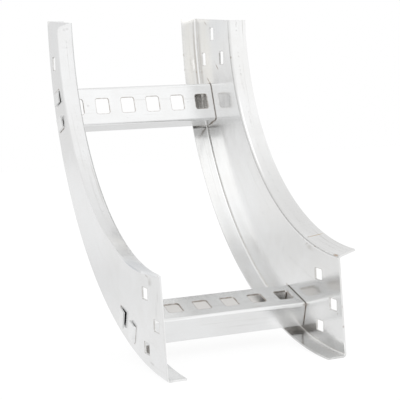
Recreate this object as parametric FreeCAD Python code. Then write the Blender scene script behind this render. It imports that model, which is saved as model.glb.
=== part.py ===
import FreeCAD, Part
import math
import os
from FreeCAD import Vector

# Cable tray bend: two curved side rails joined by two perforated rungs.
# Lengths in millimetres, angles in degrees. X runs across the tray, the lower end
# faces -Y and the upper end faces +Z. The origin lies midway between the rails, on
# the lower end's base edge.

# the bend
inside_width = 150.0        # clear width between the two webs
inner_radius = 200.0        # radius of the web's inner edge
web_height = 80.0           # web, from its inner edge to its outer edge
bend_turn = 90.0            # turn between the two tray directions
end_run = 4.0               # each end runs on this far past the turn
end_rake = 4.5              # the end cuts lean, so the outer edge is the longer one

# the rails
rail_sheet = 1.5
rail_fold_radius = 1.8      # inside radius of the rail's two folds
rim_width = 15.5            # flange turned outwards at the inner edge
rim_tilt = 16.0             # its lift above square to the web
base_width = 15.0           # flange turned inwards at the outer edge

# the bolt slots at each rail end, measured from the end and from the base
bolt_slot_length = 12.0
bolt_slot_height = 9.3
bolt_slot_corner = 1.2
single_slot_run = 17.0      # the slot nearest the end
double_slot_run = 40.5      # the pair behind it
slot_line_height = 40.0
double_slot_offset = 21.5   # each of the pair lies this far off the slot line

# the rungs
rung_turn = 17.75           # each rung sits this far into the turn from its end
rung_sheet = 1.5
rung_fold_radius = 1.3      # inside radius of the rung's two folds
rung_width = 37.0
rung_depth = 21.0
rung_seat_height = 27.0     # perforated face above the rail's outer edge
rung_end_gap = 0.3          # between a rung's end and the web
hole_count = 6
hole_across = 12.8          # along the rung
hole_along = 14.6           # along the tray
hole_corner = 2.0

# the tongues that hold each rung
tongue_width = 14.5
tongue_reach = 12.0         # folded length, from the rung wall's outer face
tongue_fold_radius = 1.0
tongue_lift = 4.0           # angle that the folded tongue keeps off the web
tongue_clearance = 0.3      # to the web's face and to the sides of its slot
tongue_fold_room = 0.6      # slot room on the side that the tongue folds to

# what follows from the sizes above
outer_radius = inner_radius + web_height
bend_axis = Vector(0.0, end_run, outer_radius)
half_inside = inside_width / 2.0
web_outside = half_inside + rail_sheet
hole_pitch = inside_width / hole_count
rung_wall_foot = rung_seat_height - rung_depth
tongue_top = rung_seat_height - rung_sheet - rung_fold_radius   # where the wall's fold starts
tongue_foot = tongue_top - tongue_width

across, along, upright = Vector(1, 0, 0), Vector(0, 1, 0), Vector(0, 0, 1)
turn_start = Vector(0.0, end_run, 0.0)      # outer edge where the turn begins


def left_of(direction):
    return Vector(-direction.y, direction.x, 0)


def unit(start, end):
    step = end - start
    return step / step.Length


def strip_side(points, offset, fold_radius):
    """One side of a folded strip, offset left of its middle line: two points a run, three a fold."""
    pieces = []
    here = points[0] + left_of(unit(points[0], points[1])) * offset
    for before, corner, after in zip(points, points[1:], points[2:]):
        way_in, way_out = unit(before, corner), unit(corner, after)
        turn = math.atan2(way_in.cross(way_out).z, way_in.dot(way_out))
        side = math.copysign(1.0, turn)
        tangent = fold_radius * math.tan(abs(turn) / 2.0)
        hub = corner - way_in * tangent + left_of(way_in) * fold_radius * side
        start = corner - way_in * tangent + left_of(way_in) * offset
        middle = hub + unit(hub, corner) * (fold_radius - offset * side)
        end = corner + way_out * tangent + left_of(way_out) * offset
        pieces += [(here, start), (start, middle, end)]
        here = end
    last = points[-1] + left_of(unit(points[-2], points[-1])) * offset
    return pieces + [(here, last)]


def folded_strip(points, sheet, inside_radius, origin, u, v):
    """Section of a folded sheet, from the corner points of its middle line, as a face."""
    corners = [Vector(a, b, 0) for a, b in points]
    middle_radius = inside_radius + sheet / 2.0
    near = strip_side(corners, sheet / 2.0, middle_radius)
    far = strip_side(corners, -sheet / 2.0, middle_radius)
    caps = [(near[0][0], far[0][0]), (near[-1][-1], far[-1][-1])]
    edges = []
    for piece in near + far + caps:
        place = [origin + u * p.x + v * p.y for p in piece]
        curve = Part.LineSegment(*place) if len(place) == 2 else Part.Arc(*place)
        edges.append(curve.toShape())
    return Part.Face(Part.Wire(Part.sortEdges(edges)[0]))


def rounded_bar(size_a, size_b, corner, depth):
    """Upright bar with a rounded rectangular section, centred on the origin."""
    bar = Part.makeBox(size_a, size_b, depth, Vector(-size_a / 2, -size_b / 2, -depth / 2))
    uprights = [e for e in bar.Edges if abs(e.tangentAt(e.FirstParameter).z) > 0.99]
    return bar.makeFillet(corner, uprights)


def turned_in(shape, angle):
    """The shape carried round the bend by an angle from the lower end."""
    moved = shape.copy()
    moved.rotate(bend_axis, across, angle)
    return moved


def other_end(shape):
    """The shape mirrored from the lower end to the upper end."""
    half = math.radians(bend_turn / 2.0)
    return shape.mirror(bend_axis, Vector(0, math.cos(half), math.sin(half)))


def both_ends(shapes):
    return shapes + [other_end(shape) for shape in shapes]


def end_trim():
    """Everything in front of the lower end's raked cut."""
    reach = web_height + rim_width
    block = Part.makeBox(4 * web_outside, reach, 3 * reach,
                         Vector(-2 * web_outside, -reach, -reach))
    block.rotate(Vector(0, 0, 0), across, -end_rake)
    return block


def bolt_slots():
    """The three bolt slots of the lower end, as tools through the right web."""
    places = [(single_slot_run, slot_line_height),
              (double_slot_run, slot_line_height + double_slot_offset),
              (double_slot_run, slot_line_height - double_slot_offset)]
    tools = []
    for run, height in places:
        tool = rounded_bar(bolt_slot_height, bolt_slot_length, bolt_slot_corner, 4 * rail_sheet)
        tool.rotate(Vector(0, 0, 0), along, 90)
        tool.translate(Vector(half_inside + rail_sheet / 2, run, height))
        tools.append(tool)
    return tools


def tongue_slots():
    """The two slots that one rung's tongues pass through, as tools at the start of the turn."""
    length = tongue_clearance + rung_sheet + tongue_fold_room
    height = tongue_width + 2 * tongue_clearance
    start = rung_width / 2.0 - rung_sheet - tongue_fold_room
    tool = Part.makeBox(4 * rail_sheet, length, height,
                        Vector(half_inside - rail_sheet, start, tongue_foot - tongue_clearance))
    tools = [tool, tool.mirror(Vector(0, 0, 0), along)]
    for tool in tools:
        tool.translate(turn_start)
    return tools


def rail_section():
    """The rail's folded section above the point where the turn begins."""
    web_middle = half_inside + rail_sheet / 2.0
    tilt = math.radians(rim_tilt)
    points = [(half_inside - base_width, rail_sheet / 2.0),
              (web_middle, rail_sheet / 2.0),
              (web_middle, web_height),
              (web_middle + rim_width * math.cos(tilt), web_height + rim_width * math.sin(tilt))]
    return folded_strip(points, rail_sheet, rail_fold_radius, turn_start, across, upright)


def right_rail():
    """Curved rail, made long at both ends and then cut back to the raked ends."""
    spare_turn = math.degrees(2 * end_run / inner_radius)
    section = turned_in(rail_section(), -spare_turn)
    body = section.revolve(bend_axis, across, bend_turn + 2 * spare_turn)
    rungs = [turned_in(tool, angle) for tool in tongue_slots()
             for angle in (rung_turn, bend_turn - rung_turn)]
    return body.cut(both_ends([end_trim()] + bolt_slots()) + rungs)


def tongue():
    """One tongue: out of the rung's wall, through the web and folded over it."""
    lift = math.radians(tongue_lift)
    wall_middle = rung_width / 2.0 - rung_sheet / 2.0
    fold_middle = tongue_fold_radius + rung_sheet / 2.0
    tangent = fold_middle * math.tan((math.pi / 2 - lift) / 2.0)
    corner = (web_outside + tongue_clearance + rung_sheet / 2.0 * math.cos(lift)
              - tangent * math.sin(lift))
    flap = tongue_reach - rung_sheet / 2.0
    root = half_inside - rung_end_gap - rung_sheet
    points = [(root, wall_middle), (corner, wall_middle),
              (corner + flap * math.sin(lift), wall_middle - flap * math.cos(lift))]
    face = folded_strip(points, rung_sheet, tongue_fold_radius,
                        turn_start + upright * tongue_foot, across, along)
    return face.extrude(upright * tongue_width)


def rung():
    """Perforated channel with four tongues, lying at the start of the turn."""
    half_length = half_inside - rung_end_gap
    wall, seat = (rung_width - rung_sheet) / 2.0, rung_seat_height - rung_sheet / 2.0
    points = [(-wall, rung_wall_foot), (-wall, seat), (wall, seat), (wall, rung_wall_foot)]
    section = folded_strip(points, rung_sheet, rung_fold_radius,
                           turn_start - across * half_length, along, upright)
    channel = section.extrude(across * (2 * half_length))
    holes = []
    for index in range(hole_count):
        hole = rounded_bar(hole_across, hole_along, hole_corner, 4 * rung_sheet)
        hole.translate(turn_start + upright * seat
                       + across * ((index + 0.5) * hole_pitch - half_inside))
        holes.append(hole)
    pair = [tongue()]
    pair.append(pair[0].mirror(turn_start, along))
    tongues = pair + [shape.mirror(turn_start, across) for shape in pair]
    return channel.cut(holes).fuse(tongues).removeSplitter()


def solid_of(shape):
    """The one solid that a shape holds."""
    solids = shape.Solids
    if len(solids) != 1 or not solids[0].isValid():
        raise ValueError("expected one valid solid, got %d" % len(solids))
    return solids[0]


def build():
    right = solid_of(right_rail())
    plain_rung = solid_of(rung())
    return {
        "side_rail_right": right,
        "side_rail_left": right.mirror(Vector(0, 0, 0), across),
        "rung_lower": turned_in(plain_rung, rung_turn),
        "rung_upper": turned_in(plain_rung, bend_turn - rung_turn),
    }


os.makedirs("parts", exist_ok=True)
for name, shape in build().items():
    shape.exportStep(os.path.join("parts", name + ".step"))
    box = shape.BoundBox
    print("%s volume %.1f mm3, box %.1f %.1f %.1f to %.1f %.1f %.1f"
          % (name, shape.Volume, box.XMin, box.YMin, box.ZMin, box.XMax, box.YMax, box.ZMax))
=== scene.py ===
import math
import bpy
import bmesh
from mathutils import Matrix, Vector
from mathutils.bvhtree import BVHTree


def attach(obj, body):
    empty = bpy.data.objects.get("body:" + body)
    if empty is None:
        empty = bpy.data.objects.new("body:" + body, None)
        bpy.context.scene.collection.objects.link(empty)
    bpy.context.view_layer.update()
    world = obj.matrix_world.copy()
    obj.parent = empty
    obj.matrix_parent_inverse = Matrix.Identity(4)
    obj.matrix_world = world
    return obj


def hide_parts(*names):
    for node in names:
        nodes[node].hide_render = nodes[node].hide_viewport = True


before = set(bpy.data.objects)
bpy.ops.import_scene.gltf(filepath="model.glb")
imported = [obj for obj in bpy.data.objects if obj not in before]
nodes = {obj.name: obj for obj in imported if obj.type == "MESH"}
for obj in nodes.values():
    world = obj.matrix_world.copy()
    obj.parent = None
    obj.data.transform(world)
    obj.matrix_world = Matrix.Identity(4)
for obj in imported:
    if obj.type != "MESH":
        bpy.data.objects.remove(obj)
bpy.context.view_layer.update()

# Cable tray bend: two side rails of folded sheet, joined by two perforated rungs. Metres, with
# x across the tray. The lower end faces -Y and the upper end faces +Z.

scene = bpy.context.scene
scene.view_settings.view_transform = "Standard"


# ---------------------------------------------------------------- sizes

sheet = 0.0015                      # both the rails and the rungs are folded from this sheet
outer_radius = 0.28                 # the rails' outer edge
end_run = 0.004                     # each end runs on this far past the bend
far_end = 0.284                     # where the upper end lies in z, and the rails' outer edge in y
bend_axis = Vector((0.0, end_run, outer_radius))
across = Vector((1.0, 0.0, 0.0))
end_rake = math.radians(4.5)        # the end cuts lean
marking_radius = 0.24               # where lengths along the bend are measured

web_inside, web_middle, web_outside = 0.075, 0.07575, 0.0765
web_height = 0.080
base_edge = 0.060                   # free edge of the flange that is turned inwards
rim_width = 0.0155
rim_tilt = math.radians(16)
rail_folds = (0.0033, 0.0018)       # radius on the outside and the inside of a fold
punch_reach = 0.006                 # every punch is this long, across the sheet

bolt_slot_places = ((0.0170, 0.040), (0.0405, 0.0615), (0.0405, 0.0185))    # along, up
bolt_slot_size = (0.012, 0.0093)
bolt_slot_corner = 0.0012

rung_turn = 17.75                   # how far round the bend the lower rung sits, in degrees
rung_half_length = 0.0747
rung_half, rung_half_inside = 0.0185, 0.0170
rung_seat, rung_seat_inside, rung_foot = 0.027, 0.0255, 0.006
rung_folds = (0.0028, 0.0013)
hole_count, hole_pitch = 6, 0.025
hole_size = (0.0128, 0.0146)
hole_corner = 0.002

tongue_edges = (0.0097, 0.0242)     # its lower and upper edge on the rung's wall
tongue_root = 0.0011                # straight run through the web
tongue_hub = (0.0758, 0.0160)       # centre of its fold: across, and along from the rung's middle
tongue_flap = 0.0096                # straight run over the web
tongue_slot_size = (0.0024, 0.0151)
tongue_slot_corner = 0.0002
tongue_slot_place = (0.0176, 0.01695)


# ---------------------------------------------------------------- camera

def place_camera():
    """The view of the object: where the camera stands, how it is turned, and its lens."""
    spot = Vector((-0.3702447, -0.7931482, 0.2239713))
    yaw, pitch, roll = 0.3903, 0.1035, -0.0392
    forward = Vector((math.sin(yaw) * math.cos(pitch), math.cos(yaw) * math.cos(pitch),
                      -math.sin(pitch)))
    level_right = Vector((math.cos(yaw), -math.sin(yaw), 0.0))
    level_up = level_right.cross(forward)
    right = level_right * math.cos(roll) + level_up * math.sin(roll)
    up = level_up * math.cos(roll) - level_right * math.sin(roll)
    turn = Matrix((right, up, -forward)).transposed()
    data = bpy.data.cameras.new("camera")
    data.sensor_width = 36.0
    data.lens = 104.47
    data.clip_start = 0.01
    camera = bpy.data.objects.new("camera", data)
    camera.matrix_world = Matrix.Translation(spot) @ turn.to_4x4()
    scene.collection.objects.link(camera)
    scene.camera = camera


# ---------------------------------------------------------------- node helpers

def new_material(name):
    material = bpy.data.materials.new(name)
    material.use_nodes = True
    tree = material.node_tree
    tree.nodes.clear()
    return material, tree


def add(tree, kind, values=None, **settings):
    """A node with its settings and its input values or links."""
    node = tree.nodes.new(kind)
    for key, value in settings.items():
        setattr(node, key, value)
    for key, value in (values or {}).items():
        if isinstance(value, bpy.types.NodeSocket):
            tree.links.new(value, node.inputs[key])
        else:
            node.inputs[key].default_value = value
    return node


def calc(tree, operation, *values):
    """A Math operation, carried on from left to right where there are more than two values."""
    node = add(tree, "ShaderNodeMath", dict(enumerate(values[:2])), operation=operation)
    if len(values) > 2:
        return calc(tree, operation, node.outputs[0], *values[2:])
    return node.outputs[0]


def vector_calc(tree, operation, *values):
    """A Vector Math operation, which gives a vector, or a number where that is its result."""
    node = add(tree, "ShaderNodeVectorMath", dict(enumerate(values)), operation=operation)
    return node.outputs["Value" if operation in ("DOT_PRODUCT", "LENGTH") else "Vector"]


def split(tree, vector):
    return add(tree, "ShaderNodeSeparateXYZ", {0: vector}).outputs[:]


def joined(tree, x, y, z):
    return add(tree, "ShaderNodeCombineXYZ", {0: x, 1: y, 2: z}).outputs[0]


def fade(tree, value, low, high, to_low=0.0, to_high=1.0, shape="SMOOTHSTEP"):
    """Carries a value from the range low to high into another range, and holds it there."""
    return add(tree, "ShaderNodeMapRange", {"Value": value, 1: low, 2: high, 3: to_low, 4: to_high},
               interpolation_type=shape).outputs[0]


def noise(tree, vector, scale, detail, roughness=0.5):
    return add(tree, "ShaderNodeTexNoise", {
        "Vector": vector, "Scale": scale, "Detail": detail, "Roughness": roughness}).outputs[0]


def blend(tree, share, first, second):
    """Mixes two colours by a share."""
    return add(tree, "ShaderNodeMix", {0: share, 6: first, 7: second}, data_type="RGBA").outputs[2]


def object_place(tree):
    return add(tree, "ShaderNodeTexCoord").outputs["Object"]


# ---------------------------------------------------------------- stage

white = (1.0, 1.0, 1.0, 1.0)
floor_half = 2.2
floor_colour = (0.86, 0.86, 0.86, 1.0)
floor_glow = 1.05                   # strength of the white that the camera and the metal see
shadow_kept = 0.15                  # share of the floor's own paint, which takes the shadow

studio_levels = (                   # from behind the object to in front of it: place, brightness
    (0.0, 0.88), (0.12, 0.89), (0.32, 0.93), (0.5, 0.98), (0.69, 1.04), (0.8, 1.12), (1.0, 1.20))
studio_patches = (                  # azimuth, elevation, inner and outer half angle, gain
    (-50, -2, 12, 30, 0.12),            # wide soft board
    (-27, -8, 4, 14, 0.20),             # low bright board
    (-24.2, -1.6, 1.1, 2.4, -0.80),     # small dark gap, which the right web mirrors
)

lamp_aim = Vector((0.0, 0.14, 0.14))
lamp_way = (-128, 56)               # azimuth, elevation
lamp_distance = 2.0
lamp_size = (1.15, 1.15)
lamp_power = 2.2


def make_floor():
    """Pale floor that takes the shadow, and shows a white room to the camera and to the metal; the
    metal also sees painted shade on it behind the object.
    """
    mesh = bmesh.new()
    bmesh.ops.create_grid(mesh, x_segments=1, y_segments=1, size=floor_half)
    data = bpy.data.meshes.new("floor")
    mesh.to_mesh(data)
    mesh.free()
    floor = bpy.data.objects.new("floor", data)
    scene.collection.objects.link(floor)
    material, tree = new_material("pale_floor")
    paint = add(tree, "ShaderNodeBsdfDiffuse", {"Color": floor_colour}).outputs[0]
    glow = add(tree, "ShaderNodeEmission", {"Color": white, "Strength": floor_glow}).outputs[0]
    x, y, z = split(tree, object_place(tree))
    # painted shade: the floor that the metal mirrors is dimmer behind the object, but not at its
    # far left
    behind = fade(tree, y, 0.2, 0.5, 0.0, 0.18, shape="LINEAR")
    beside = fade(tree, x, -0.30, -0.15, shape="LINEAR")
    level = calc(tree, "SUBTRACT", 1.0, calc(tree, "MULTIPLY", behind, beside))
    glow_with_painted_shade = add(tree, "ShaderNodeEmission", {"Color": level, "Strength": floor_glow}).outputs[0]
    path = add(tree, "ShaderNodeLightPath").outputs
    mix = paint
    for ray, shown in (("Is Glossy Ray", glow_with_painted_shade), ("Is Camera Ray", glow)):
        share = calc(tree, "MULTIPLY", path[ray], 1.0 - shadow_kept)
        mix = add(tree, "ShaderNodeMixShader", {0: share, 1: mix, 2: shown}).outputs[0]
    add(tree, "ShaderNodeOutputMaterial", {"Surface": mix})
    data.materials.append(material)


def toward(azimuth, elevation):
    """Unit direction: azimuth 0 is +Y and 90 is +X, in degrees."""
    a, e = math.radians(azimuth), math.radians(elevation)
    return Vector((math.sin(a) * math.cos(e), math.cos(a) * math.cos(e), math.sin(e)))


def light_world():
    """White studio, brightest in front of the object, with brighter and darker patches behind."""
    world = bpy.data.worlds.new("studio")
    world.use_nodes = True
    tree = world.node_tree
    tree.nodes.clear()
    way = add(tree, "ShaderNodeTexCoord").outputs["Generated"]
    facing = vector_calc(tree, "DOT_PRODUCT", way, toward(160, 24))
    ramp = add(tree, "ShaderNodeValToRGB", {"Fac": fade(tree, facing, -1.0, 1.0, shape="LINEAR")})
    while len(ramp.color_ramp.elements) < len(studio_levels):
        ramp.color_ramp.elements.new(0.5)
    for element, (position, level) in zip(ramp.color_ramp.elements, studio_levels):
        element.position = position
        element.color = (level, level, level, 1.0)
    level = ramp.outputs[0]
    for azimuth, elevation, inner, outer, gain in studio_patches:
        near = vector_calc(tree, "DOT_PRODUCT", way, toward(azimuth, elevation))
        low, high = math.cos(math.radians(outer)), math.cos(math.radians(inner))
        level = calc(tree, "ADD", fade(tree, near, low, high, 0.0, gain), level)
    soft = add(tree, "ShaderNodeBackground", {"Color": level, "Strength": 1.0}).outputs[0]
    plain = add(tree, "ShaderNodeBackground", {"Color": white, "Strength": 1.0}).outputs[0]
    seen = add(tree, "ShaderNodeLightPath").outputs["Is Camera Ray"]
    mix = add(tree, "ShaderNodeMixShader", {0: seen, 1: soft, 2: plain}).outputs[0]
    add(tree, "ShaderNodeOutputWorld", {"Surface": mix})
    scene.world = world


def area_lamp(name, spot, aim, size, power):
    data = bpy.data.lights.new(name, "AREA")
    data.shape = "RECTANGLE"
    data.size, data.size_y = size
    data.energy = power
    lamp = bpy.data.objects.new(name, data)
    lamp.location = spot
    lamp.rotation_euler = (aim - spot).to_track_quat("-Z", "Y").to_euler()
    scene.collection.objects.link(lamp)


# ---------------------------------------------------------------- sheet metal pieces

sweep_steps = 96
spare_turn = 2.3                    # the rail is swept this much too long at each end
rail_corner_cuts = (                # across and up at the cut, and how far it leans
    (0.0778, 0.2775, 0.30), (0.0880, 0.2744, 0.9), (0.0897, 0.2729, 2.6))
corner_cut_y = 0.200
eased_edge = 0.0002


def whole(mesh):
    return mesh.verts[:] + mesh.edges[:] + mesh.faces[:]


def section(points, radii):
    """Closed section with rounded folds: its corner points (across, up) and the radius at each."""
    mesh = bmesh.new()
    corners = [mesh.verts.new((x, end_run, z)) for x, z in points]
    mesh.faces.new(corners)
    count = len(points)
    tangents = []
    for index, radius in enumerate(radii):
        here = Vector(points[index])
        way_in = here - Vector(points[index - 1])
        way_out = Vector(points[(index + 1) % count]) - here
        tangents.append(radius * math.tan(way_in.angle(way_out) / 2))
    for corner, tangent in zip(corners, tangents):
        if tangent > 0:
            bmesh.ops.bevel(mesh, geom=[corner], offset=tangent, offset_type="OFFSET", segments=7,
                            profile=0.5, affect="VERTICES", material=-1)
    return mesh


def turned(mesh, degrees):
    """Carries a mesh round the bend."""
    bmesh.ops.rotate(mesh, verts=mesh.verts, cent=bend_axis,
                     matrix=Matrix.Rotation(math.radians(degrees), 3, "X"))


def trim(mesh, point, normal):
    """Cuts away everything in front of a plane and closes the cut."""
    cut = bmesh.ops.bisect_plane(mesh, geom=whole(mesh), dist=1e-7, plane_co=point, plane_no=normal,
                                 clear_outer=True)
    rim = [part for part in cut["geom_cut"] if isinstance(part, bmesh.types.BMEdge)]
    bmesh.ops.holes_fill(mesh, edges=rim, sides=0)


def rounded_tool(size, corner, way):
    """Punch with four rounded edges, which run along the axis number that way gives."""
    tool = bmesh.new()
    bmesh.ops.create_cube(tool, size=1.0)
    bmesh.ops.scale(tool, vec=size, verts=tool.verts)
    edges = [e for e in tool.edges if abs((e.verts[0].co - e.verts[1].co)[way]) > 0.9 * size[way]]
    bmesh.ops.bevel(tool, geom=edges, offset=corner, offset_type="OFFSET", segments=5, profile=0.5,
                    affect="EDGES", material=-1)
    return tool


def gathered(tools):
    """One mesh datablock that holds all the punches."""
    data = bpy.data.meshes.new("punches")
    together = bmesh.new()
    for tool in tools:
        tool.to_mesh(data)
        together.from_mesh(data)
        tool.free()
    together.to_mesh(data)
    together.free()
    return data


def moved(tool, step):
    bmesh.ops.translate(tool, vec=step, verts=tool.verts)
    return tool


def other_end(tool):
    """Mirrors a punch from the lower end to the upper end."""
    for vert in tool.verts:
        x, y, z = vert.co
        vert.co = (x, far_end - z, far_end - y)
    bmesh.ops.reverse_faces(tool, faces=tool.faces)
    return tool


def mark_sheared(mesh):
    """Second material on the narrow faces that the shears and the punch leave."""
    tree = BVHTree.FromBMesh(mesh)
    for face in mesh.faces:
        start = face.calc_center_median() - face.normal * 1e-5
        depth = tree.ray_cast(start, -face.normal)[3]
        face.material_index = 1 if depth is None or depth > 1.2 * sheet else 0


def finished(name, mesh, punches, node):
    """Punches the openings, eases the edges and puts the piece in its node's place."""
    data = bpy.data.meshes.new(name)
    bmesh.ops.recalc_face_normals(mesh, faces=mesh.faces)
    mesh.to_mesh(data)
    mesh.free()
    piece = bpy.data.objects.new(name, data)
    scene.collection.objects.link(piece)
    tool = bpy.data.objects.new("punches", gathered(punches))
    scene.collection.objects.link(tool)
    punch = piece.modifiers.new("punched", "BOOLEAN")
    punch.object, punch.operation, punch.solver = tool, "DIFFERENCE", "EXACT"
    view = bpy.context.evaluated_depsgraph_get()
    shape = bpy.data.meshes.new_from_object(piece.evaluated_get(view))
    shape.name = name
    piece.modifiers.clear()
    piece.data = shape
    bpy.data.objects.remove(tool)
    mesh = bmesh.new()
    mesh.from_mesh(shape)
    bmesh.ops.remove_doubles(mesh, verts=mesh.verts, dist=1e-6)
    mark_sheared(mesh)
    for face in mesh.faces:
        face.smooth = True
    mesh.to_mesh(shape)
    mesh.free()
    ease = piece.modifiers.new("eased_edges", "BEVEL")
    ease.width, ease.segments = eased_edge, 2
    ease.limit_method, ease.angle_limit = "ANGLE", math.radians(40)
    flat = piece.modifiers.new("flat_sheet", "WEIGHTED_NORMAL")
    flat.keep_sharp = True
    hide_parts(node)
    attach(piece, "root")
    return piece


def rail(name, side, node):
    """Side rail: folded section swept round the bend, raked ends, bolt slots and tongue slots."""
    half = sheet / 2
    miter = half * math.tan((math.pi / 2 - rim_tilt) / 2)
    lean_x, lean_z = half * math.sin(rim_tilt), half * math.cos(rim_tilt)
    tip_x = web_middle + rim_width * math.cos(rim_tilt)
    tip_z = web_height + rim_width * math.sin(rim_tilt)
    points = [(base_edge, 0.0), (web_outside, 0.0), (web_outside, web_height - miter),
              (tip_x + lean_x, tip_z - lean_z), (tip_x - lean_x, tip_z + lean_z),
              (web_inside, web_height + miter), (web_inside, sheet), (base_edge, sheet)]
    mesh = section(points, [0, *rail_folds, 0] * 2)
    turned(mesh, -spare_turn)
    bmesh.ops.spin(mesh, geom=whole(mesh), cent=bend_axis, axis=across,
                   angle=math.radians(90 + 2 * spare_turn), steps=sweep_steps)
    trim(mesh, (0, 0, 0), (0, -math.cos(end_rake), math.sin(end_rake)))
    trim(mesh, (0, far_end, far_end), (0, -math.sin(end_rake), math.cos(end_rake)))
    if side < 0:                    # this rim's upper corner is cut back and rounded
        for x, z, slope in rail_corner_cuts:
            leaning = Vector((slope, -math.sin(end_rake), math.cos(end_rake))).normalized()
            trim(mesh, (x, corner_cut_y, z), leaning)
    punches = []
    for middle in bolt_slot_places:
        for upper in (False, True):
            tool = rounded_tool((punch_reach, *bolt_slot_size), bolt_slot_corner, 0)
            moved(tool, (web_middle, *middle))
            punches.append(other_end(tool) if upper else tool)
    along, up = tongue_slot_place
    for turn in (rung_turn, 90 - rung_turn):
        for wall in (1, -1):
            tool = rounded_tool((punch_reach, *tongue_slot_size), tongue_slot_corner, 0)
            moved(tool, (web_middle, end_run + wall * along, up))
            turned(tool, turn)
            punches.append(tool)
    if side < 0:
        for part in [mesh] + punches:
            bmesh.ops.scale(part, vec=(-1, 1, 1), verts=part.verts)
            bmesh.ops.reverse_faces(part, faces=part.faces)
    piece = finished(name, mesh, punches, node)
    return piece


def fold_tongue(mesh, side, wall, lift):
    """Draws a tongue out of the rung's end, through the web and over it."""
    def outermost(way):
        foot, top = tongue_edges
        faces = []
        for face in mesh.faces:
            middle = face.calc_center_median()
            on_wall = foot < middle.z < top and (middle.y - end_run) * wall > 0
            if on_wall and face.normal.dot(way) > 0.99:
                faces.append(face)
        return max(faces, key=lambda face: face.calc_center_median().dot(way))

    lift = math.radians(lift)
    face = outermost(Vector((side, 0, 0)))
    grown = bmesh.ops.extrude_discrete_faces(mesh, faces=[face])["faces"][0]
    bmesh.ops.translate(mesh, vec=(side * tongue_root, 0, 0), verts=grown.verts)
    hub = Vector((side * tongue_hub[0], end_run + wall * tongue_hub[1], 0))
    turn = (math.pi / 2 - lift) * -side * wall
    last = bmesh.ops.spin(mesh, geom=[grown] + grown.edges[:] + grown.verts[:], cent=hub,
                          axis=(0, 0, 1), angle=turn, steps=8)["geom_last"]
    grown = [part for part in last if isinstance(part, bmesh.types.BMFace)][0]
    grown = bmesh.ops.extrude_discrete_faces(mesh, faces=[grown])["faces"][0]
    along = Vector((side * math.sin(lift), -wall * math.cos(lift), 0))
    bmesh.ops.translate(mesh, vec=along * tongue_flap, verts=grown.verts)


def rung(name, turn, lifts, node):
    """Perforated channel with four tongues; lifts says how far each one is left off the web."""
    points = [(-rung_half, rung_foot), (-rung_half, rung_seat), (rung_half, rung_seat),
              (rung_half, rung_foot), (rung_half_inside, rung_foot),
              (rung_half_inside, rung_seat_inside), (-rung_half_inside, rung_seat_inside),
              (-rung_half_inside, rung_foot)]
    outside, inside = rung_folds
    mesh = section(points, [0, outside, outside, 0, 0, inside, inside, 0])
    bmesh.ops.translate(mesh, vec=(0, -end_run, 0), verts=mesh.verts)
    bmesh.ops.rotate(mesh, verts=mesh.verts, cent=(0, 0, 0),
                     matrix=Matrix.Rotation(math.radians(90), 3, "Z"))
    bmesh.ops.translate(mesh, vec=(-rung_half_length, end_run, 0), verts=mesh.verts)
    grown = bmesh.ops.extrude_face_region(mesh, geom=mesh.faces[:])["geom"]
    bmesh.ops.translate(mesh, vec=(2 * rung_half_length, 0, 0),
                        verts=[part for part in grown if isinstance(part, bmesh.types.BMVert)])
    for height in tongue_edges:
        bmesh.ops.bisect_plane(mesh, geom=whole(mesh), dist=1e-7, plane_co=(0, 0, height),
                               plane_no=(0, 0, 1))
    bmesh.ops.recalc_face_normals(mesh, faces=mesh.faces)
    for (side, wall), lift in lifts.items():
        fold_tongue(mesh, side, wall, lift)
    punches = []
    for index in range(hole_count):
        tool = rounded_tool((*hole_size, punch_reach), hole_corner, 2)
        middle = hole_pitch * (index - (hole_count - 1) / 2)
        punches.append(moved(tool, (middle, end_run, rung_seat - sheet / 2)))
    for part in [mesh] + punches:
        turned(part, turn)
    piece = finished(name, mesh, punches, node)
    return piece


# ---------------------------------------------------------------- shared effects

def new_group(name, inputs, outputs):
    """A node group: inputs are (name, kind, value), outputs are (name, kind)."""
    tree = bpy.data.node_groups.new(name, "ShaderNodeTree")
    for label, kind, value in inputs:
        socket = tree.interface.new_socket(label, in_out="INPUT", socket_type="NodeSocket" + kind)
        if value is not None:
            socket.default_value = value
    for label, kind in outputs:
        tree.interface.new_socket(label, in_out="OUTPUT", socket_type="NodeSocket" + kind)
    entry = tree.nodes.new("NodeGroupInput").outputs
    return tree, entry, tree.nodes.new("NodeGroupOutput")


def bend_position():
    """Two ways to say where a point lies.

    Unrolled: across, along the bend, depth from the outer edge.
    Rung Frame: across, along from the nearer rung's middle, up from the outer edge.
    """
    tree, entry, leave = new_group("bend_position", (("Vector", "Vector", None),),
                                   (("Unrolled", "Vector"), ("Rung Frame", "Vector")))
    x, y, z = split(tree, entry["Vector"])
    y = calc(tree, "SUBTRACT", y, end_run)
    z = calc(tree, "SUBTRACT", outer_radius, z)
    squares = [calc(tree, "MULTIPLY", side, side) for side in (y, z)]
    radius = calc(tree, "SQRT", calc(tree, "ADD", *squares))
    turn = calc(tree, "ARCTAN2", y, z)
    unrolled = joined(tree, x, calc(tree, "MULTIPLY", turn, marking_radius),
                      calc(tree, "SUBTRACT", outer_radius, radius))
    from_middle = calc(tree, "ABSOLUTE", calc(tree, "SUBTRACT", turn, math.radians(45)))
    off = calc(tree, "SUBTRACT", from_middle, math.radians(45 - rung_turn))
    lengthwise = calc(tree, "MULTIPLY", radius, calc(tree, "SINE", off))
    drop = calc(tree, "MULTIPLY", radius, calc(tree, "COSINE", off))
    at_rung = joined(tree, x, lengthwise, calc(tree, "SUBTRACT", outer_radius, drop))
    tree.links.new(unrolled, leave.inputs["Unrolled"])
    tree.links.new(at_rung, leave.inputs["Rung Frame"])
    return tree


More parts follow.
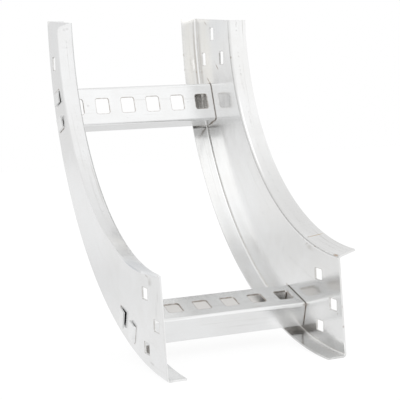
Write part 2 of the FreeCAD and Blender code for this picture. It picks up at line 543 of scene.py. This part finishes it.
def rolled_grain():
    """Mill finish: streaks along the vector's Y, soft clouds, and the height of both for a bump."""
    tree, entry, leave = new_group("rolled_grain", (("Vector", "Vector", None),),
                                   (("Streaks", "Float"), ("Clouds", "Float"), ("Height", "Float")))
    vector = entry["Vector"]
    layers = []
    for squeeze, scale, detail in ((0.018, 620.0, 3.0), (0.05, 170.0, 2.0)):
        drawn = add(tree, "ShaderNodeMapping", {"Vector": vector, "Scale": (1.0, squeeze, 1.0)})
        layers.append(noise(tree, drawn.outputs[0], scale, detail, 0.6))
    streaks = calc(tree, "MULTIPLY", calc(tree, "ADD", *layers), 0.5)
    large = calc(tree, "MULTIPLY", noise(tree, vector, 16.0, 3.0), 0.65)
    small = calc(tree, "MULTIPLY", noise(tree, vector, 75.0, 4.0, 0.6), 0.35)
    wave = noise(tree, vector, 22.0, 1.0)
    height = calc(tree, "ADD", wave, calc(tree, "MULTIPLY", streaks, 0.04))
    tree.links.new(streaks, leave.inputs["Streaks"])
    tree.links.new(calc(tree, "ADD", large, small), leave.inputs["Clouds"])
    tree.links.new(height, leave.inputs["Height"])
    return tree


def mark_or_painted_light():
    """One scuff, scratch, dirt spot or patch of painted light or shade: an oval with a wavering
    outline that can lean two ways.
    """
    tree, entry, leave = new_group("mark_or_painted_light", (
        ("Vector", "Vector", None), ("Centre", "Vector", None), ("Size", "Vector", None),
        ("Lean Across", "Float", 0.0), ("Lean Depth", "Float", 0.0), ("Soft", "Float", 0.5),
        ("Waver", "Float", 0.0)), (("Mask", "Float"),))
    x, y, z = split(tree, vector_calc(tree, "SUBTRACT", entry["Vector"], entry["Centre"]))
    lean = calc(tree, "ADD", calc(tree, "MULTIPLY", x, entry["Lean Across"]),
                calc(tree, "MULTIPLY", z, entry["Lean Depth"]))
    leaned = joined(tree, x, calc(tree, "ADD", y, lean), z)
    reach = vector_calc(tree, "LENGTH", vector_calc(tree, "DIVIDE", leaned, entry["Size"]))
    rough = calc(tree, "SUBTRACT", noise(tree, entry["Vector"], 420.0, 3.0, 0.65), 0.5)
    outline = calc(tree, "ADD", reach, calc(tree, "MULTIPLY", rough, entry["Waver"]))
    tree.links.new(fade(tree, outline, 1.0, entry["Soft"]), leave.inputs["Mask"])
    return tree


def specks():
    """Small dark spots, of which only a share is kept."""
    tree, entry, leave = new_group("specks", (
        ("Vector", "Vector", None), ("Scale", "Float", 300.0), ("Spot", "Float", 0.3),
        ("Share", "Float", 0.1)), (("Mask", "Float"),))
    cells = add(tree, "ShaderNodeTexVoronoi", {
        "Vector": entry["Vector"], "Scale": entry["Scale"]}).outputs
    spot = fade(tree, cells["Distance"], entry["Spot"], 0.0, shape="LINEAR")
    draw = add(tree, "ShaderNodeSeparateColor", {0: cells["Color"]}).outputs[0]
    kept = calc(tree, "LESS_THAN", draw, entry["Share"])
    tree.links.new(calc(tree, "MULTIPLY", spot, kept), leave.inputs["Mask"])
    return tree


def frame_line():
    """Broken line round a rectangle in the vector's Y and Z, rounded at its corners: grime, and
    round the tongue slots painted shade too.
    """
    tree, entry, leave = new_group("frame_line", (
        ("Vector", "Vector", None), ("Centre", "Vector", None), ("Half", "Vector", None),
        ("Corner", "Float", 0.0), ("Width", "Float", 0.001)), (("Mask", "Float"),))
    from_centre = vector_calc(tree, "SUBTRACT", entry["Vector"], entry["Centre"])
    size = vector_calc(tree, "ABSOLUTE", from_centre)
    outside = vector_calc(tree, "SUBTRACT", size, entry["Half"])
    y, z = (calc(tree, "ADD", side, entry["Corner"]) for side in split(tree, outside)[1:])
    past = [calc(tree, "MAXIMUM", side, 0.0) for side in (y, z)]
    squares = [calc(tree, "MULTIPLY", side, side) for side in past]
    beyond = calc(tree, "SQRT", calc(tree, "ADD", *squares))
    within = calc(tree, "MINIMUM", calc(tree, "MAXIMUM", y, z), 0.0)
    off = calc(tree, "SUBTRACT", calc(tree, "ADD", beyond, within), entry["Corner"])
    line = fade(tree, calc(tree, "ABSOLUTE", off), entry["Width"], 0.0002)
    broken = fade(tree, noise(tree, entry["Vector"], 260.0, 2.0), 0.3, 0.6, 0.35, 1.0)
    tree.links.new(calc(tree, "MULTIPLY", line, broken), leave.inputs["Mask"])
    return tree


effects = {}


def place(tree, effect, values):
    """Puts one of the shared effects into a material."""
    if effect not in effects:
        effects[effect] = effect()
    return add(tree, "ShaderNodeGroup", values, node_tree=effects[effect]).outputs


def stain_or_painted_light(tree, colour, mask, tint, strength):
    """Lays a tint over a colour where the mask is."""
    return blend(tree, calc(tree, "MULTIPLY", mask, strength), colour, (*tint, 1.0))


# ---------------------------------------------------------------- finishes

brown = (0.22, 0.15, 0.09)
grey = (0.42, 0.41, 0.40)

# each mark or patch of painted light and shade: its centre as across mm, turn in degrees and depth
# mm;
# half sizes in mm; lean across and lean depth; softness and waver of the outline; tint; strength
right_rail_marks_and_painted_light = (
    # rim and inner fold
    ((83.6, 16.20, 83.0), (8.0, 0.90, 5.0), (0.3255, 0.0), (0.55, 0.3), (0.50, 0.35, 0.17), 0.90),
    ((77.7, 16.70, 81.2), (1.0, 0.90, 1.0), (0.0, 0.0), (0.3, 0.5), brown, 0.65),
    ((75.0, 15.70, 77.3), (1.0, 1.20, 0.8), (0.0, 0.0), (0.3, 0.6), brown, 0.7),
    ((75.4, 12.00, 79.5), (1.2, 1.60, 0.8), (0.0, 0.0), (0.3, 0.6), brown, 0.7),
    ((75.2, 17.60, 78.4), (1.0, 0.80, 0.7), (0.0, 0.0), (0.3, 0.6), brown, 0.5),
    ((76.1, 2.30, 80.4), (2.0, 6.50, 1.1), (0.0, 0.0), (0.3, 0.5), (0.36, 0.25, 0.16), 0.75),
    # web
    ((75.0, 14.50, 75.5), (1.2, 11.0, 4.0), (0.0, 0.4), (0.0, 1.3), (0.50, 0.47, 0.43), 0.40),
    ((75.0, 25.90, 52.0), (1.0, 0.90, 6.5), (0.0, 0.1), (0.0, 1.0), grey, 0.30),
    ((75.0, 22.00, 52.0), (1.0, 0.60, 0.6), (0.0, 0.0), (0.3, 0.3), grey, 0.8),
    ((75.0, 38.00, 55.0), (1.0, 0.50, 2.2), (0.0, 0.7), (0.3, 0.5), grey, 0.5),
    ((75.0, 89.50, 26.0), (1.0, 0.70, 4.0), (0.0, 0.70), (0.3, 0.5), brown, 0.85),
    ((75.0, 78.90, 46.4), (1.0, 1.10, 3.2), (0.0, 1.35), (0.4, 0.4), brown, 0.95),
    ((75.0, 80.30, 42.5), (1.0, 0.70, 2.4), (0.0, 1.35), (0.1, 0.9), grey, 0.35),
    # spots on both folds and on the base flange, and a painted highlight along the base fold
    ((75.5, 79.40, 79.6), (1.2, 1.80, 0.9), (0.0, 0.0), (0.3, 0.5), brown, 0.7),
    ((60.0, 83.55, 0.8), (0.9, 1.10, 1.6), (0.0, 0.0), (0.3, 0.5), brown, 0.8),
    ((60.0, 80.50, 0.8), (0.9, 0.90, 1.6), (0.0, 0.0), (0.3, 0.5), brown, 0.7),
    ((72.0, 79.90, 1.5), (0.9, 1.10, 1.2), (0.0, 0.0), (0.3, 0.5), brown, 0.7),
    ((75.0, 45.00, 3.0), (0.8, 420.0, 1.2), (0.0, 0.0), (0.5, 0.1), (0.97, 0.95, 0.92), 0.85),
    # web at the upper rung and in the bend, and the lower end's edge
    ((75.0, 77.20, 22.0), (1.0, 1.60, 4.0), (0.0, 0.9), (0.2, 0.6), brown, 0.55),
    ((75.0, 68.20, 15.0), (1.0, 2.00, 3.0), (0.0, 0.3), (0.2, 0.6), brown, 0.55),
    # painted shade on the web under the upper rung, where the web mirrors the rung's underside
    ((75.0, 66.30, 26.0), (1.2, 9.00, 42.0), (0.0, 0.335), (-0.3, 0.2), (0.40, 0.40, 0.40), 0.45),
    ((75.0, 36.50, 19.0), (1.2, 15.0, 9.0), (0.0, 0.2), (-0.3, 1.2), (0.50, 0.48, 0.45), 0.28),
    # painted shade: a dark line along the rim's inner fold
    ((75.1, 76.00, 78.8), (0.9, 80.0, 0.9), (0.0, 0.0), (0.3, 0.5), (0.40, 0.39, 0.38), 0.50),
    ((75.5, 1.40, 33.4), (1.4, 0.90, 1.2), (0.0, 0.0), (0.3, 0.5), brown, 0.5),
    ((75.5, -0.40, 40.5), (1.4, 1.30, 1.6), (0.0, 0.0), (0.3, 0.5), brown, 0.55),
    ((75.5, -0.60, 24.5), (1.4, 1.30, 1.6), (0.0, 0.0), (0.3, 0.5), brown, 0.55),
    # broad painted light and shade, not dirt: how light or dark the base flange, the web's ends and
    # the rim are painted
    ((66.0, 84.00, 0.6), (9.6, 60.0, 3.2), (0.0, 0.0), (0.3, 0.3), (0.97, 0.948, 0.90), 0.60),
    ((66.0, 5.00, 0.8), (22.0, 44.0, 5.0), (0.0, 0.0), (0.1, 0.5), (0.42, 0.42, 0.415), 0.80),
    ((68.0, 13.00, 1.0), (22.0, 18.0, 5.0), (0.0, 0.0), (-0.2, 0.5), (0.34, 0.33, 0.32), 0.75),
    ((75.0, 1.00, 9.0), (2.0, 14.0, 7.0), (0.0, 0.0), (0.2, 0.5), (0.98, 0.98, 0.975), 0.95),
    ((72.2, 81.00, 1.5), (1.5, 60.0, 1.2), (0.0, 0.0), (0.2, 0.7), (0.42, 0.38, 0.33), 0.50),
    ((67.0, 45.50, 0.8), (11.0, 50.0, 3.0), (0.0, 0.0), (-0.2, 0.3), (0.55, 0.55, 0.545), 0.45),
    ((84.0, 38.00, 83.0), (15.0, 160.0, 9.0), (0.0, 0.0), (0.2, 0.0), (0.68, 0.68, 0.675), 0.55),
    ((66.0, 90.80, 0.8), (12.0, 4.50, 3.0), (0.0, 0.0), (0.6, 0.5), (0.97, 0.96, 0.93), 0.8),
    ((75.0, 88.00, 45.0), (2.5, 36.0, 50.0), (0.0, 0.0), (-0.4, 0.4), (0.70, 0.725, 0.75), 0.5),
)
left_rail_marks_and_painted_light = (
    # lower end's upper corner, edge and foot
    ((-76.5, 8.60, 73.6), (1.0, 5.50, 1.3), (0.0, 0.2), (0.1, 1.0), (0.44, 0.41, 0.38), 0.55),
    ((-76.5, 6.60, 69.5), (1.0, 4.00, 3.2), (0.0, 0.3), (0.0, 1.2), grey, 0.40),
    ((-76.5, 2.20, 63.0), (1.0, 2.60, 6.5), (0.0, 0.0), (0.0, 1.0), grey, 0.25),
    ((-76.5, 6.60, 71.0), (1.2, 8.00, 5.0), (0.0, 0.3), (-0.3, 1.0), (0.48, 0.46, 0.44), 0.55),
    ((-76.5, 3.00, 52.0), (1.2, 4.00, 11.0), (0.0, 0.0), (-0.3, 0.8), grey, 0.22),
    ((-76.5, 5.50, 7.0), (1.2, 5.50, 1.6), (0.0, 0.0), (0.0, 1.6), grey, 0.40),
    # inner fold, and two lines across the rim
    ((-77.0, 19.0, 80.6), (1.5, 1.10, 1.2), (0.0, 0.0), (0.3, 0.5), brown, 0.7),
    ((-83.0, 83.0, 83.0), (9.0, 0.60, 6.0), (0.0, 0.0), (0.3, 0.6), grey, 0.15),
    ((-83.0, 52.0, 83.0), (9.0, 0.60, 6.0), (0.0, 0.0), (0.3, 0.6), grey, 0.15),
    # broad painted light and shade: base flange, rim, inner face, upper end
    ((-66.0, 2.50, 1.0), (12.0, 24.0, 3.0), (0.0, 0.0), (0.3, 0.5), (0.97, 0.97, 0.965), 0.75),
    ((-84.0, 6.50, 83.0), (17.0, 36.0, 9.0), (0.0, 0.0), (0.3, 0.2), (0.55, 0.57, 0.595), 0.85),
    ((-75.0, 55.0, 40.0), (0.6, 500.0, 120.0), (0.0, 0.0), (0.5, 0.0), (0.90, 0.90, 0.895), 0.8),
    ((-76.5, 92.6, 3.0), (3.0, 12.0, 20.0), (0.0, 0.0), (0.5, 0.5), (1.00, 0.99, 0.97), 0.95),
)
left_rail_rings = ((-83.9, 87.56, 83.1), (-80.9, 87.80, 82.3))
upper_rung_marks = (
    ((-51.7, 72.4, 27.0), (1.6, 1.60, 2.0), (0.0, 0.0), (0.1, 0.8), grey, 0.35),
    ((60.0, 66.9, 25.0), (14.0, 1.2, 3.0), (0.0, 0.0), (0.1, 1.2), (0.45, 0.40, 0.34), 0.5),
    ((74.0, 77.0, 26.5), (2.0, 2.0, 2.5), (0.0, 0.0), (0.2, 0.8), brown, 0.5),
)
lower_rung_marks_and_painted_light = (
    ((73.5, 13.6, 25.5), (2.2, 1.6, 3.0), (0.0, 0.0), (0.2, 0.8), brown, 0.45),
    # painted light: the wall towards the lower end, lightened at its right end
    ((60.0, 13.8, 15.0), (24.0, 4.0, 14.0), (0.0, 0.0), (0.3, 0.2), (0.99, 0.99, 0.99), 0.95),
    ((32.0, 14.6, 27.0), (5.0, 1.0, 2.0), (0.0, 0.0), (0.1, 1.2), (0.52, 0.47, 0.41), 0.45),
)

two_tones = {                       # light and dark colour of each sheet and edge
    "left_rail": ((0.780, 0.783, 0.787), (0.740, 0.740, 0.738)),
    "right_rail": ((0.805, 0.808, 0.808), (0.760, 0.758, 0.752)),
    "rung": ((0.805, 0.810, 0.812), (0.765, 0.766, 0.765)),
    "sheared": ((0.84, 0.84, 0.83), (0.62, 0.60, 0.57)),
    "punched": ((0.66, 0.62, 0.57), (0.42, 0.37, 0.31)),
}
streak_tint = (0.50, 0.49, 0.47)
bolt_slot_tint = (0.40, 0.38, 0.35)
painted_channel_shade = (0.66, 0.64, 0.615)
burr_tint = (0.30, 0.24, 0.18)


def at(across_mm, turn, depth_mm):
    """A place on the unrolled piece, in metres."""
    return (across_mm / 1000, math.radians(turn) * marking_radius, depth_mm / 1000)


def marked(tree, colour, unrolled, marks):
    """Lays the marks and the painted light and shade of a table over a colour, in their order."""
    for centre, size, lean, edge, tint, strength in marks:
        mask = place(tree, mark_or_painted_light, {
            "Vector": unrolled, "Centre": at(*centre), "Size": tuple(s / 1000 for s in size),
            "Lean Across": lean[0], "Lean Depth": lean[1], "Soft": edge[0], "Waver": edge[1]})
        colour = stain_or_painted_light(tree, colour, mask["Mask"], tint, strength)
    return colour


def two_toned(tree, share, tones):
    light, dark = tones
    return blend(tree, share, (*dark, 1.0), (*light, 1.0))


def sheet_colour(tree, grain, tones, streaked):
    """Bare aluminium: clouded, with faint streaks along the rolling direction."""
    colour = two_toned(tree, fade(tree, grain["Clouds"], 0.36, 0.64), tones)
    streaks = calc(tree, "MULTIPLY", fade(tree, grain["Streaks"], 0.46, 0.30), streaked)
    return stain_or_painted_light(tree, colour, streaks, streak_tint, 0.5)


def metal_output(tree, colour, rough, height, distance):
    bump = add(tree, "ShaderNodeBump", {"Height": height, "Strength": 0.6, "Distance": distance})
    metal = add(tree, "ShaderNodeBsdfPrincipled", {
        "Base Color": colour, "Metallic": 1.0, "Roughness": rough, "Normal": bump.outputs[0]})
    add(tree, "ShaderNodeOutputMaterial", {"Surface": metal.outputs[0]})


def spotted(tree, vector, scale):
    """Mask of sparse dark specks."""
    return place(tree, specks, {
        "Vector": vector, "Scale": scale, "Spot": 0.16, "Share": 0.05})["Mask"]


def outlined(tree, vector, centre, half, corner, width):
    """Mask of a line round a rectangle: grime, and round the tongue slots painted shade too."""
    return place(tree, frame_line, {
        "Vector": vector, "Centre": (0.0, *centre), "Half": (1.0, *half), "Corner": corner,
        "Width": width})["Mask"]


def joint_line(tree, at_rung, side):
    """Mask of the line along the rungs' ends, on the web's inner face alone."""
    x, along, up = split(tree, at_rung)
    folded = vector_calc(tree, "ABSOLUTE", at_rung)
    line = outlined(tree, folded, (0.0, 0.0165), (0.0187, 0.0106), 0.0, 0.0008)
    on_web = calc(tree, "MULTIPLY", fade(tree, side, 0.0744, 0.0748),
                  calc(tree, "LESS_THAN", side, 0.0755))
    return calc(tree, "MULTIPLY", line, on_web, fade(tree, up, 0.0062, 0.0085))


def bolt_slot_lines(tree, lower):
    """Mask of the outlines of the bolt slots at both ends."""
    x, y, z = split(tree, lower)
    upper = joined(tree, x, calc(tree, "SUBTRACT", far_end, z), calc(tree, "SUBTRACT", far_end, y))
    half = tuple(size / 2 for size in bolt_slot_size)
    return calc(tree, "MAXIMUM", *(outlined(tree, end, middle, half, bolt_slot_corner, 0.0007)
                                   for end in (lower, upper) for middle in bolt_slot_places))


def dash_row(tree, unrolled, side):
    """Mask of the broken row of dashes along the rim."""
    line = fade(tree, calc(tree, "ABSOLUTE", calc(tree, "SUBTRACT", side, 0.0822)), 0.0010, 0.0004)
    dashes = place(tree, specks, {"Vector": unrolled, "Scale": 430.0, "Spot": 0.50, "Share": 0.42})
    return calc(tree, "MULTIPLY", line, dashes["Mask"])


def ring(tree, unrolled, centre):
    """Mask of a faint ring on the rim."""
    outer, inner = (place(tree, mark_or_painted_light, {
        "Vector": unrolled, "Centre": at(*centre), "Size": (radius, radius, radius),
        "Soft": 0.7})["Mask"] for radius in (0.0014, 0.0010))
    return calc(tree, "SUBTRACT", outer, inner)


def rail_sheet(name, tones, marks, rings=(), lean=0.0):
    """Finish of a rail: streaks along the bend, grime round the rungs' ends, partly painted shade
    round the tongue slots, and its own marks and painted light and shade.

    The streaks are stronger on the two flanges. Lean tips the shading of the lower end a little
    with the depth, as a slightly dished web does.
    """
    material, tree = new_material(name)
    here = object_place(tree)
    side = calc(tree, "ABSOLUTE", split(tree, here)[0])
    where = place(tree, bend_position, {"Vector": here})
    unrolled, at_rung = where["Unrolled"], where["Rung Frame"]
    grain = place(tree, rolled_grain, {"Vector": unrolled})
    flange = calc(tree, "MAXIMUM", fade(tree, side, 0.0749, 0.0744),
                  fade(tree, side, 0.0766, 0.0771))
    colour = sheet_colour(tree, grain, tones, fade(tree, flange, 0.0, 1.0, 0.30, 1.1))
    dots = spotted(tree, unrolled, 260.0)
    folded = vector_calc(tree, "ABSOLUTE", at_rung)
    # brown round the tongue slots: grime, and painted shade where the slots' gaps are dark
    slots = outlined(tree, folded, tongue_slot_place, (0.0012, 0.00755), 0.0, 0.0011)
    for mask, tint, strength in ((dots, grey, 0.7), (slots, brown, 0.75),
                                 (joint_line(tree, at_rung, side), brown, 0.42),
                                 (bolt_slot_lines(tree, here), bolt_slot_tint, 0.5),
                                 (dash_row(tree, unrolled, side), grey, 0.6)):
        colour = stain_or_painted_light(tree, colour, mask, tint, strength)
    colour = marked(tree, colour, unrolled, marks)
    for centre in rings:
        colour = stain_or_painted_light(tree, colour, ring(tree, unrolled, centre), grey, 0.6)
    rough = calc(tree, "ADD", fade(tree, grain["Clouds"], 0.35, 0.65, 0.15, 0.20),
                 calc(tree, "MULTIPLY", dots, 0.15), calc(tree, "MULTIPLY", slots, 0.2))
    x, along, depth = split(tree, unrolled)
    dished = calc(tree, "MULTIPLY", depth, fade(tree, along, 0.20, 0.02), lean)
    metal_output(tree, colour, rough, calc(tree, "ADD", grain["Height"], dished), 0.0004)
    return material


def rung_sheet(name, marks):
    """Finish of a rung: streaks along the rung, painted shade inside the channel and browned hole
    edges.
    """
    material, tree = new_material(name)
    where = place(tree, bend_position, {"Vector": object_place(tree)})
    x, along, up = split(tree, where["Rung Frame"])
    lengthwise = joined(tree, along, x, up)
    grain = place(tree, rolled_grain, {"Vector": lengthwise})
    colour = sheet_colour(tree, grain, two_tones["rung"], 0.55)
    side = calc(tree, "ABSOLUTE", x)
    short_of_end = calc(tree, "LESS_THAN", side, 0.0749)
    between_walls = fade(tree, calc(tree, "ABSOLUTE", along), 0.0174, 0.0170)
    # painted shade: the inside of the channel, between its walls, is darkened
    inside = calc(tree, "MULTIPLY", between_walls, fade(tree, up, 0.0259, 0.0255), short_of_end)
    into_pitch = calc(tree, "MODULO", calc(tree, "ADD", x, web_inside), hole_pitch)
    from_hole = calc(tree, "SUBTRACT", into_pitch, hole_pitch / 2)
    holes = outlined(tree, joined(tree, x, from_hole, along), (0.0, 0.0), (0.0064, 0.0073),
                     hole_corner, 0.0007)
    burrs = calc(tree, "MULTIPLY", holes, fade(tree, up, 0.0252, 0.0256))
    dots = spotted(tree, lengthwise, 240.0)
    tip = calc(tree, "MULTIPLY", fade(tree, side, 0.0738, 0.0746), short_of_end,
               fade(tree, grain["Clouds"], 0.3, 0.55))
    for mask, tint, strength in ((inside, painted_channel_shade, 0.7), (burrs, burr_tint, 0.6),
                                 (dots, grey, 0.7), (tip, brown, 0.45)):
        colour = stain_or_painted_light(tree, colour, mask, tint, strength)
    colour = marked(tree, colour, where["Unrolled"], marks)
    rough = calc(tree, "ADD", fade(tree, grain["Clouds"], 0.35, 0.65, 0.19, 0.25),
                 calc(tree, "MULTIPLY", dots, 0.15))
    metal_output(tree, colour, rough, grain["Height"], 0.0003)
    return material


def cut_edge(name, tones, roughness):
    """Sheared and punched edges: patchy, with a fine unevenness."""
    material, tree = new_material(name)
    unrolled = place(tree, bend_position, {"Vector": object_place(tree)})["Unrolled"]
    fine = noise(tree, unrolled, 700.0, 3.0)
    colour = two_toned(tree, fade(tree, noise(tree, unrolled, 90.0, 2.0), 0.35, 0.65), tones)
    rough = fade(tree, fine, 0.3, 0.7, roughness - 0.06, roughness + 0.06)
    metal_output(tree, colour, rough, fine, 0.0001)
    return material


def dress():
    """Makes the four pieces and gives them, and the plain nodes they stand for, their finishes."""
    left = rail_sheet("left_rail_sheet", two_tones["left_rail"], left_rail_marks_and_painted_light, left_rail_rings)
    right = rail_sheet("right_rail_sheet", two_tones["right_rail"], right_rail_marks_and_painted_light, lean=170.0)
    lower = rung_sheet("lower_rung_sheet", lower_rung_marks_and_painted_light)
    upper = rung_sheet("upper_rung_sheet", upper_rung_marks)
    sheared = cut_edge("sheared_edge", two_tones["sheared"], 0.34)
    punched = cut_edge("punched_edge", two_tones["punched"], 0.42)
    # how far each tongue is left off the web, by its side and wall, in degrees
    lower_lifts = {(-1, 1): 2.6, (-1, -1): 0.5, (1, 1): 4.0, (1, -1): 3.0}
    upper_lifts = {(-1, 1): 2.0, (-1, -1): 3.0, (1, 1): 4.0, (1, -1): 5.0}
    pieces = (
        (rail("left_rail", -1, "side_rail_left"), left, sheared),
        (rail("right_rail", 1, "side_rail_right"), right, sheared),
        (rung("lower_rung", rung_turn, lower_lifts, "rung_lower"), lower, punched),
        (rung("upper_rung", 90 - rung_turn, upper_lifts, "rung_upper"), upper, punched),
    )
    plain_nodes = ("side_rail_left", "side_rail_right", "rung_lower", "rung_upper")
    for node, (piece, metal, edge) in zip(plain_nodes, pieces):
        for data, finishes in ((piece.data, (metal, edge)), (nodes[node].data, (metal,))):
            data.materials.clear()
            for finish in finishes:
                data.materials.append(finish)


place_camera()
make_floor()
light_world()
area_lamp("key_soft_box", lamp_aim + toward(*lamp_way) * lamp_distance, lamp_aim, lamp_size,
          lamp_power)
dress()
